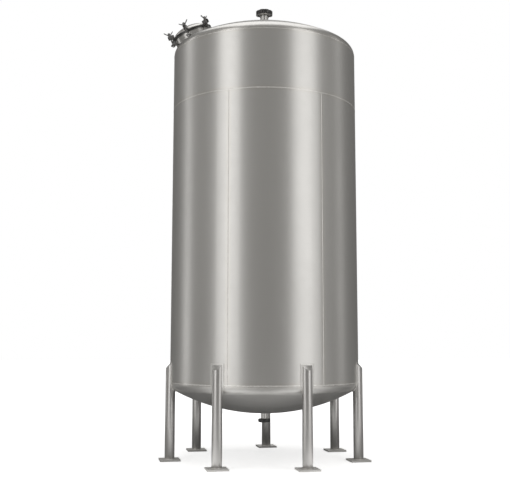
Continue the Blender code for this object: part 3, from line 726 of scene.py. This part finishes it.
def build_legs():
    leg, pad, around, edge = leg_mesh(), pad_mesh(), leg_weld(), pad_weld()
    foot_path = circle_path(LEG_RADIUS + 0.001, FOOT_TOP + 0.001, 64)
    foot = bead("foot_weld", foot_path, 0.009, 0.0040, closed=True, pitch=0.005)
    for number in range(1, LEGS + 1):
        radial = VESSEL @ turn_z(FIRST_LEG + (number - 1) * 360.0 / LEGS)
        at_leg = radial @ move(RADIUS, 0, 0)
        show(f"leg_pipe_{number}", leg, at_leg, "tank", f"leg_{number}")
        show(f"doubler_pad_{number}", pad, radial, "tank", f"leg_pad_{number}")
        show(f"leg_weld_{number}", around, at_leg, "tank")
        show(f"pad_weld_{number}", edge, radial, "tank")
        show(f"foot_weld_{number}", foot, at_leg, "tank")
        finish_cad_node(f"base_plate_{number}", FOOT)


def finish_cad_node(node, mat, bevel=0.0):
    """A CAD node whose shape is right: it gets its finish and, with a bevel, eased edges."""
    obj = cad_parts[node]
    obj.data.materials.clear()
    obj.data.materials.append(mat)
    weld_vertices(obj)
    if bevel:
        round_edges(obj, bevel, 3).harden_normals = True


# ------------------------ manway
def manway_frame():
    """The manway's own axes: Z along its neck from the upper head's crown, X towards the middle clamp."""
    tilt = math.radians(MANWAY_TILT)
    normal = Vector((-math.sin(tilt), 0.0, math.cos(tilt)))
    origin = Vector((AXIS_X, 0.0, SHELL_TOP + head_depth() - CROWN)) + CROWN * normal
    clamp = math.radians(CLAMP_AZIMUTH)
    flat = Vector((math.cos(clamp), math.sin(clamp), 0.0))
    x_axis = (flat - normal * flat.dot(normal)).normalized()
    return Matrix.Translation(origin) @ Matrix((x_axis, normal.cross(x_axis), normal)).transposed().to_4x4()


MANWAY = manway_frame()


def lid_profile():
    """The lid's section: the dome outside, the flat rim, and the dome inside."""
    rise = LID_CROWN - math.sqrt((LID_CROWN - LID_KNUCKLE) ** 2 - (LID_DISH_RADIUS - LID_KNUCKLE) ** 2)
    meet = math.degrees(math.acos((LID_DISH_RADIUS - LID_KNUCKLE) / (LID_CROWN - LID_KNUCKLE)))

    def dish(offset):
        crown = arc(0.0, LID_RIM_TOP + rise - LID_CROWN, LID_CROWN + offset, 90.0, meet, 24)
        knuckle = arc(LID_DISH_RADIUS - LID_KNUCKLE, LID_RIM_TOP, LID_KNUCKLE + offset, meet, 0.0, 12)
        return crown + knuckle[1:]

    edge = rounded([(LID_DISH_RADIUS, LID_RIM_TOP), (RIM_RADIUS, LID_RIM_TOP), (RIM_RADIUS, LID_RIM_BOTTOM),
                    (LID_DISH_RADIUS - LID_WALL, LID_RIM_BOTTOM)], 0.0012)
    return dish(0.0)[:-1] + edge + dish(-LID_WALL)[:-1][::-1]


def thread_profile(radius, low, high, pitch, depth):
    """Down a threaded length: a ridge for each turn."""
    turns = int((high - low) / pitch)
    points = []
    for i in range(turns):
        z = high - i * pitch
        points += [(radius, z), (radius + depth, z - 0.5 * pitch)]
    return points + [(radius, low)]


def bolt_mesh():
    """A threaded bolt with a chamfered hexagon head below the lug."""
    high = EAR_TOP + WING_HUB + BOLT_END
    thread_end, shank_end = 0.044, 0.010
    shank = [(0.0, high), (BOLT_RADIUS - 0.0015, high)]
    shank += thread_profile(BOLT_RADIUS - 0.0004, thread_end + 0.001, high - 0.001, 0.0025, 0.0010)
    shank += [(BOLT_RADIUS, thread_end), (BOLT_RADIUS, shank_end), (0.0, shank_end)]
    bolt = lathe("bolt", shank, BOLT_STEEL, 32, closed=False)
    half_across_flats, corner, face = 0.0143, 0.0168, 0.0155
    top = LUG_LOW - GAP
    bottom = top - 0.0135

    def flats(angle):
        near = (angle + math.pi / 6) % (math.pi / 3) - math.pi / 6
        return half_across_flats / math.cos(near)

    outline = [(0.0, top), (face, top), (corner, top - 0.002), (corner, bottom + 0.002), (face, bottom),
               (0.0, bottom)]
    head = lathe("head", rounded(outline, 0.0006), BOLT_STEEL, 72, closed=False, limit=flats)
    return shaped(bolt, [("UNION", head, Matrix())])


def wing_arm(sign):
    """One arm: a bar that rises and curves outwards, round near the hub and flattened at its tip."""
    root, span = 0.007, 0.049                 # outwards from the nut's axis
    foot, rise, curve = 0.010, 0.036, 1.25    # upwards from the nut's seat
    flat_start, flat_length = 0.55, 0.62      # shares of the arm's length
    tip_start = 0.9
    bm = bmesh.new()
    rings = []
    steps = 22
    for i in range(steps + 1):
        t = i / steps
        centre = Vector((0.0, sign * (root + span * t), foot + rise * t ** curve))
        flat = math.sin(math.pi * (max(0.0, t - flat_start) / flat_length))
        wide = (0.0068 - 0.0016 * t) + 0.0022 * flat
        thick = 0.0066 - 0.0022 * t
        past_tip = max(0.0, (t - tip_start) / (1 - tip_start))
        cap = 0.1 + 0.9 * math.sqrt(max(0.0, 1 - past_tip ** 2))
        slope = math.atan2(rise * curve * max(t, 0.01) ** (curve - 1), span)
        lift = Vector((0.0, -sign * math.sin(slope), math.cos(slope)))
        rings.append(oval(bm, centre, Vector((cap * wide, 0, 0)), cap * thick * lift, 16))
    join_rings(bm, rings)
    return finish_mesh("arm", bm, CASTING_PAINTED_SHADE)


def wing_nut_mesh():
    """A cast nut: coned hub, two arms melted into it, bored and faced."""
    top, waist, seat, low = 0.0140, 0.0150, 0.0190, 0.0002
    hub = [(0.0, WING_HUB), (top, WING_HUB), (waist, 0.012), (seat, 0.0045), (seat, low), (0.0, low)]
    solid = lathe("wing_nut", rounded(hub, 0.0015), CASTING_PAINTED_SHADE, 64, closed=False)
    solid = shaped(solid, [("UNION", wing_arm(1), Matrix()), ("UNION", wing_arm(-1), Matrix())],
                   remesh=0.0009, soften=6)
    bore = cylinder("bore", NUT_BORE, -0.02, 0.06, CASTING_PAINTED_SHADE, 48)
    return shaped(solid, [("DIFFERENCE", bore, Matrix())])


def build_clamps():
    bolt, nut = bolt_mesh(), wing_nut_mesh()
    for number in (1, 2, 3):
        placed = MANWAY @ turn_z((number - 2) * CLAMP_SPACING)
        at = placed @ move(CLAMP_CIRCLE, 0, 0)
        show(f"bolt_{number}", bolt, at, "tank", f"clamp_bolt_{number}")
        seat = at @ move(0, 0, EAR_TOP + GAP) @ turn_z(WING_TURNS[number])
        show(f"wing_{number}", nut, seat, f"wing_nut_{number}", f"wing_nut_{number}")
        finish_cad_node(f"clamp_lug_{number}", CASTING_PAINTED_SHADE, 0.0018)
        finish_cad_node(f"lid_ear_{number}", CASTING_PAINTED_SHADE, 0.0018)


def build_hinge():
    finish_cad_node("hinge_bracket", CASTING_PAINTED_SHADE, 0.0015)
    finish_cad_node("hinge_arm", CASTING_PAINTED_SHADE, 0.0015)
    head = HINGE_REACH + GAP
    face, rim = 0.0095, 0.0110
    half = [(0.0, head + 0.004), (face, head + 0.004), (rim, head + 0.0028), (rim, head),
            (HINGE_PIN, head)]
    profile = half + [(r, -z) for r, z in half[::-1]]
    pin = lathe("hinge_pin", profile, BOLT_STEEL, 48, closed=False)
    across = MANWAY @ move(HINGE_X, 0, HINGE_Z) @ Matrix.Rotation(math.pi / 2, 4, "X")
    show("pivot_pin", pin, across, "tank", "hinge_pin")


def build_manway():
    inner = NECK_RADIUS - NECK_WALL
    under = RIM_TOP - RIM_THICKNESS
    high = under - GAP
    section = [(NECK_RADIUS, high), (NECK_RADIUS, NECK_FOOT), (inner, NECK_FOOT), (inner, high)]
    show("neck", lathe("neck", section, TUBE, 160), MANWAY, "tank", "manway_neck")
    section = [(inner, RIM_TOP), (RIM_RADIUS, RIM_TOP), (RIM_RADIUS, under), (inner, under)]
    show("rim", lathe("rim", rounded(section, 0.0018), NUT_AND_RIM_PAINTED_SHADE, 160), MANWAY, "tank", "manway_rim")
    low = RIM_TOP + GAP
    high, outer = low + GASKET, RIM_RADIUS - 0.003
    section = [(NECK_RADIUS, high), (outer, high), (outer, low), (NECK_RADIUS, low)]
    show("gasket", lathe("gasket", rounded(section, 0.002), RUBBER, 160), MANWAY, "lid", "lid_gasket")
    lid = mark_seams(lathe("lid", lid_profile(), HEAD, 160, closed=False), lambda co: FAR_FROM_WELDS)
    show("lid_dome", lid, MANWAY, "lid", "manway_lid")
    path = [(x, y, head_height(x, y)) for x, y, _ in circle_path(NECK_RADIUS, 0.0, 120)]
    weld = bead("neck_weld", path, 0.012, 0.0045, closed=True, pitch=0.005)
    show("neck_weld", weld, MANWAY, "tank")
    build_clamps()
    build_hinge()


def head_height(x, y):
    """Height of the upper head's outside over a point of the manway's base plane: the crown, or the
    knuckle where the manway overhangs it."""
    centre = Vector((AXIS_X, 0, SHELL_TOP + head_depth() - CROWN))
    low, high = -0.15, 0.05
    for _ in range(40):
        middle = (low + high) / 2
        where = MANWAY @ Vector((x, y, middle))
        across = math.hypot(where.x - AXIS_X, where.y)
        above = where.z - SHELL_TOP
        if across > (RADIUS - KNUCKLE) * CROWN / (CROWN - KNUCKLE):
            outside = math.hypot(across - (RADIUS - KNUCKLE), above) > KNUCKLE
        else:
            outside = (where - centre).length > CROWN
        low, high = (low, middle) if outside else (middle, high)
    return (low + high) / 2


# ------------------------ unions
def notched(nut):
    """Largest radius of a union nut at an angle: its rim, less the round notches."""
    notch = NOTCH_RADIUS * nut
    centre = (1.0 - NOTCH_DEPTH) * nut + notch

    def limit(angle):
        first = math.radians(FIRST_NOTCH)
        pitch = 2 * math.pi / NUT_LOBES
        away = (angle - first + pitch / 2) % pitch - pitch / 2
        reach = notch ** 2 - (centre * math.sin(away)) ** 2
        if reach <= 0:
            return math.inf
        return centre * math.cos(away) - math.sqrt(reach)

    return limit


def union_nut(name, stub, male, nut, low, high):
    """A notched nut: chamfered outside, bored for the thread, with a lip at its top."""
    thread, mouth, lip_low = male + 0.0015, stub + 0.006, high - CAP_LIP
    profile = [(mouth, high), (nut - 0.010, high), (nut, high - 0.008), (nut, low + 0.004),
               (nut - 0.004, low), (thread + 0.001, low), (thread, low + 0.002), (thread, lip_low),
               (mouth, lip_low)]
    return lathe(name, rounded(profile, 0.0022, 4), NUT_AND_RIM_PAINTED_SHADE, 320, limit=notched(nut), sharp=40.0)


def union_cap(name, stub, flange, low, top):
    """A flanged cap, slightly domed over the stub's bore."""
    crown = [(0.0, top + 0.006), (0.35 * stub, top + 0.0058), (0.62 * stub, top + 0.0048),
             (0.85 * stub, top + 0.0024), (stub, top)]
    rim = rounded([(stub + 0.001, top), (flange, top), (flange, low), (0.5 * flange, low)], 0.0010)
    return lathe(name, crown + rim + [(0.0, low)], TUBE, 96, closed=False)


def build_union(prefix, place, stub, male, nut, nut_low, nut_height, collar):
    """A threaded stub, seal, cap and notched nut. Returns the height of the stub's sealing face."""
    high = nut_low + nut_height
    cap_low = high - CAP_LIP - GAP - CAP_EDGE
    seal_low = cap_low - GAP - SEAL
    seal_top = seal_low + SEAL
    face = seal_low - GAP - (collar + GAP if collar else 0.0)
    neck = nut_low - 0.004
    bore = stub - STUB_WALL
    threads = thread_profile(male - 0.0020, neck + 0.012, face - 0.002, 0.0042, 0.0018)
    section = [(male - 0.003, face)] + threads
    section += [(male - 0.002, neck + 0.010), (stub, neck), (stub, -STUB_INSIDE), (bore, -STUB_INSIDE),
                (bore, face)]
    pipe = lathe(f"{prefix}_pipe", section, TUBE, 96)
    show(f"{prefix}_pipe", pipe, place, "tank", f"{prefix}_stub")
    inside, outside = stub + 0.001, male - 0.006
    section = [(inside, seal_top), (outside, seal_top), (outside, seal_low), (inside, seal_low)]
    washer = lathe(f"{prefix}_washer", rounded(section, 0.0015), RUBBER, 96)
    show(f"{prefix}_washer", washer, place, "tank", f"{prefix}_seal")
    cap = union_cap(f"{prefix}_cover", stub, male - 0.002, cap_low, cap_low + CAP_EDGE)
    show(f"{prefix}_cover", cap, place, f"{prefix}_cap", f"{prefix}_cap")
    union = union_nut(f"{prefix}_union_nut", stub, male, nut, nut_low, high)
    show(f"{prefix}_union_nut", union, place, f"{prefix}_nut", f"{prefix}_nut")
    drop = CROWN - math.sqrt(CROWN ** 2 - stub ** 2)
    weld_path = circle_path(stub + 0.001, 0.001 - drop, 72)
    weld = bead(f"{prefix}_weld", weld_path, 0.008, 0.0035, closed=True)
    show(f"{prefix}_weld", weld, place, "tank")
    return face


def build_lance(collar_low):
    """The cleaning lance, hung by its collar, and the spray ball on its end."""
    inner = LANCE_RADIUS - STUB_WALL
    reach = TOP_UNION["male"] - 0.005
    top = collar_low + TOP_UNION["collar"]
    points = rounded([(inner, top), (reach, top), (reach, collar_low), (LANCE_RADIUS, collar_low),
                      (LANCE_RADIUS, LANCE_BOTTOM), (inner, LANCE_BOTTOM)], 0.0008)
    show("lance_pipe", lathe("lance_pipe", points, TUBE, 72), VESSEL, "tank", "cip_lance")
    sleeve_inside = LANCE_RADIUS + GAP
    sleeve_outside = LANCE_RADIUS + GAP + BALL_WALL
    top_angle = math.degrees(math.acos(sleeve_outside / BALL_RADIUS))
    inner_angle = math.degrees(math.acos(sleeve_inside / (BALL_RADIUS - BALL_WALL)))
    centre, sleeve = LANCE_BOTTOM - BALL_DROP, LANCE_BOTTOM + BALL_SLEEVE
    outside = arc(0.0, centre, BALL_RADIUS, top_angle, -90.0, 24)
    inside = arc(0.0, centre, BALL_RADIUS - BALL_WALL, -90.0, inner_angle, 24)
    section = [(sleeve_outside, sleeve)] + outside + inside + [(sleeve_inside, sleeve)]
    ball = lathe("spray_ball", section, TUBE, 72)
    show("spray_head", ball, VESSEL, "tank", "spray_ball")


def build_unions():
    top = SHELL_TOP + head_depth()
    face = build_union("top", VESSEL @ move(0, 0, top), **TOP_UNION)
    build_union("outlet", VESSEL @ move(0, 0, SHELL_BOTTOM - head_depth()) @ UPSIDE_DOWN, **OUTLET_UNION)
    build_lance(top + face + GAP)


# ------------------------ studio
CAMERA_AZIMUTH = 258.4         # where the camera stands round the vessel
CAMERA_DISTANCE = 9.2223
CAMERA_HEIGHT = 1.1805
CAMERA_PITCH = 0.1229          # upwards, radians
CAMERA_LENS = 60.2             # mm, on a 36 mm sensor
CAMERA_SHIFT = -0.0182
WORLD_FRONT, WORLD_BEHIND = 0.335, 0.15
FLOOR_GLOW = 0.62              # the floor's emission to the camera, near the vessel
FLOOR_ALBEDO = 0.92            # and its albedo to the camera
FLOOR_PAINTED_SHADE, FLOOR_FRONT, FLOOR_FAR = 0.20, 0.78, 0.70  # its albedo to the steel: painted shade, grey where the vessel's shadow falls, lighter in front and far out
# azimuth from the camera, distance from the axis, width and radiance of each softbox
SOFTBOXES = {"left_strip": (-39.5, 5.0, 2.1, 1.15), "right_strip": (46.0, 5.0, 2.5, 1.05),
             "left_back_strip": (-98.0, 5.0, 0.8, 1.1), "right_back_strip": (96.0, 5.0, 0.7, 0.5),
             "rear_strip": (180.0, 6.0, 2.2, 0.8)}
SOFTBOX_HEIGHT, SOFTBOX_TALL = 3.8, 7.5
OVERHEAD_HEIGHT, OVERHEAD_SIDE, OVERHEAD_RADIANCE = 9.5, 7.0, 1.2
# azimuth from the camera, reach, radius and strength of each pool of light on the floor
LIGHT_POOLS = [(0.0, 0.50, 1.0, 0.18), (-33.0, 1.25, 0.8, 0.80), (33.0, 1.25, 0.8, 0.80),
               (-39.5, 3.20, 1.8, 0.80), (46.0, 3.20, 1.8, 0.80)]


def camera_side(azimuth=0.0):
    """The level direction from the vessel's axis at an azimuth from the camera."""
    angle = math.radians(CAMERA_AZIMUTH + azimuth)
    return Vector((math.cos(angle), math.sin(angle), 0.0))


def build_camera():
    data = bpy.data.cameras.new("camera")
    data.sensor_width = 36.0
    data.lens = CAMERA_LENS
    data.shift_x = CAMERA_SHIFT
    camera = bpy.data.objects.new("camera", data)
    bpy.context.scene.collection.objects.link(camera)
    camera.location = Vector((AXIS_X, 0.0, CAMERA_HEIGHT)) + CAMERA_DISTANCE * camera_side()
    level = -camera_side()
    aim = level * math.cos(CAMERA_PITCH) + Vector((0, 0, math.sin(CAMERA_PITCH)))
    camera.rotation_mode = "QUATERNION"
    camera.rotation_quaternion = aim.to_track_quat("-Z", "Y")
    bpy.context.scene.camera = camera


def panel_light(name, width, tall, radiance):
    """An area light that the camera doesn't see. Its power gives the radiance it shows in the steel."""
    data = bpy.data.lights.new(name, "AREA")
    data.shape = "RECTANGLE"
    data.size, data.size_y = width, tall
    data.energy = radiance * width * tall * math.pi
    light = bpy.data.objects.new(name, data)
    bpy.context.scene.collection.objects.link(light)
    light.visible_camera = False
    return light


def build_lights():
    """Upright softboxes that face the vessel, and one panel overhead."""
    for name, (azimuth, distance, width, radiance) in SOFTBOXES.items():
        light = panel_light(name, width, SOFTBOX_TALL, radiance)
        side = camera_side(azimuth)
        light.location = Vector((AXIS_X, 0.0, SOFTBOX_HEIGHT)) + distance * side
        light.rotation_mode = "QUATERNION"
        light.rotation_quaternion = (-side).to_track_quat("-Z", "Y")
    overhead = panel_light("overhead", OVERHEAD_SIDE, OVERHEAD_SIDE, OVERHEAD_RADIANCE)
    overhead.location = (AXIS_X, 0.0, OVERHEAD_HEIGHT)


def build_world():
    """White to the camera; grey round the steel, darker behind the vessel."""
    world = bpy.data.worlds.new("studio")
    bpy.context.scene.world = world
    world.use_nodes = True
    tree = world.node_tree
    tree.nodes.clear()
    direction = shader_node(tree, "ShaderNodeTexCoord").outputs["Generated"]
    towards = vector_calc(tree, "DOT_PRODUCT", direction, camera_side())
    strength = fit_range(tree, towards, -1.0, 0.0, WORLD_BEHIND, WORLD_FRONT)
    seen = shader_node(tree, "ShaderNodeBackground", Color=(1.0, 1.0, 1.0, 1.0), Strength=1.0)
    lit = shader_node(tree, "ShaderNodeBackground", Color=(1.0, 0.985, 0.955, 1.0), Strength=strength)
    path = shader_node(tree, "ShaderNodeLightPath")
    mixed = shader_node(tree, "ShaderNodeMixShader", Fac=path.outputs["Is Camera Ray"])
    connect(tree, mixed.inputs[1], lit.outputs[0])
    connect(tree, mixed.inputs[2], seen.outputs[0])
    shader_node(tree, "ShaderNodeOutputWorld", Surface=mixed.outputs[0])


def light_pool(tree, place, azimuth, reach, size, strength):
    """A soft round patch of light on the floor, at an azimuth from the camera and a reach from the axis."""
    middle = Vector((AXIS_X, 0.0, 0.0)) + reach * camera_side(azimuth)
    return fit_range(tree, vector_calc(tree, "DISTANCE", place, middle), 0.0, size, strength, 0.0)


def build_floor():
    """A wide pale floor with a faint mottle, overexposed to the camera. The steel sees it with painted
    shade, grey under and behind the vessel where its shadow falls, lighter in front of the vessel and far
    from it, with the pools of light."""
    bm = bmesh.new()
    bmesh.ops.create_grid(bm, x_segments=24, y_segments=24, size=60.0)
    mesh = bpy.data.meshes.new("floor")
    bm.to_mesh(mesh)
    bm.free()
    mat, tree, shader = new_material("floor")
    mottle = noise_field(tree, 3.0, 5.0)
    place = shader_node(tree, "ShaderNodeTexCoord").outputs["Object"]
    away = vector_calc(tree, "LENGTH", place)
    forward = vector_calc(tree, "DOT_PRODUCT", place, camera_side())
    seen = shader_node(tree, "ShaderNodeLightPath").outputs["Is Camera Ray"]
    # painted shade: to the steel the floor is grey close round the vessel and behind it, standing in for the
    # vessel's shadow
    near = fit_range(tree, forward, -1.5, 1.3, FLOOR_PAINTED_SHADE, FLOOR_FRONT)
    far = fit_range(tree, away, 2.4, 3.6, FLOOR_PAINTED_SHADE, FLOOR_FAR)
    painted_shade_grey = calc(tree, "MAXIMUM", near, far)
    albedo = calc(tree, "MAXIMUM", painted_shade_grey, calc(tree, "MULTIPLY", seen, FLOOR_ALBEDO))
    albedo = calc(tree, "SUBTRACT", albedo, calc(tree, "MULTIPLY", mottle, 0.04))
    pale = shader_node(tree, "ShaderNodeCombineColor", Red=albedo, Green=albedo, Blue=albedo).outputs[0]
    connect(tree, shader.inputs["Base Color"], pale)
    glow = fit_range(tree, away, 2.0, 7.0, FLOOR_GLOW, 1.0)
    pools = 0.0
    for azimuth, reach, size, strength in LIGHT_POOLS:
        pools = calc(tree, "ADD", pools, light_pool(tree, place, azimuth, reach, size, strength))
    unseen = calc(tree, "MULTIPLY", calc(tree, "SUBTRACT", 1.0, seen), pools)
    emission = calc(tree, "ADD", calc(tree, "MULTIPLY", seen, glow), unseen)
    connect(tree, shader.inputs["Emission Strength"], emission)
    shader.inputs["Emission Color"].default_value = (1.0, 1.0, 1.0, 1.0)
    shader.inputs["Roughness"].default_value = 0.9
    shader.inputs["Specular IOR Level"].default_value = 0.1
    mesh.materials.append(mat)
    floor = bpy.data.objects.new("floor", mesh)
    bpy.context.scene.collection.objects.link(floor)
    floor.location.z = -0.0005    # just below the feet


def build_studio():
    build_camera()
    build_world()
    build_floor()
    build_lights()
    bpy.context.scene.view_settings.view_transform = "Standard"


# ------------------------ build
build_studio()
build_shell()
build_heads()
build_legs()
build_manway()
build_unions()
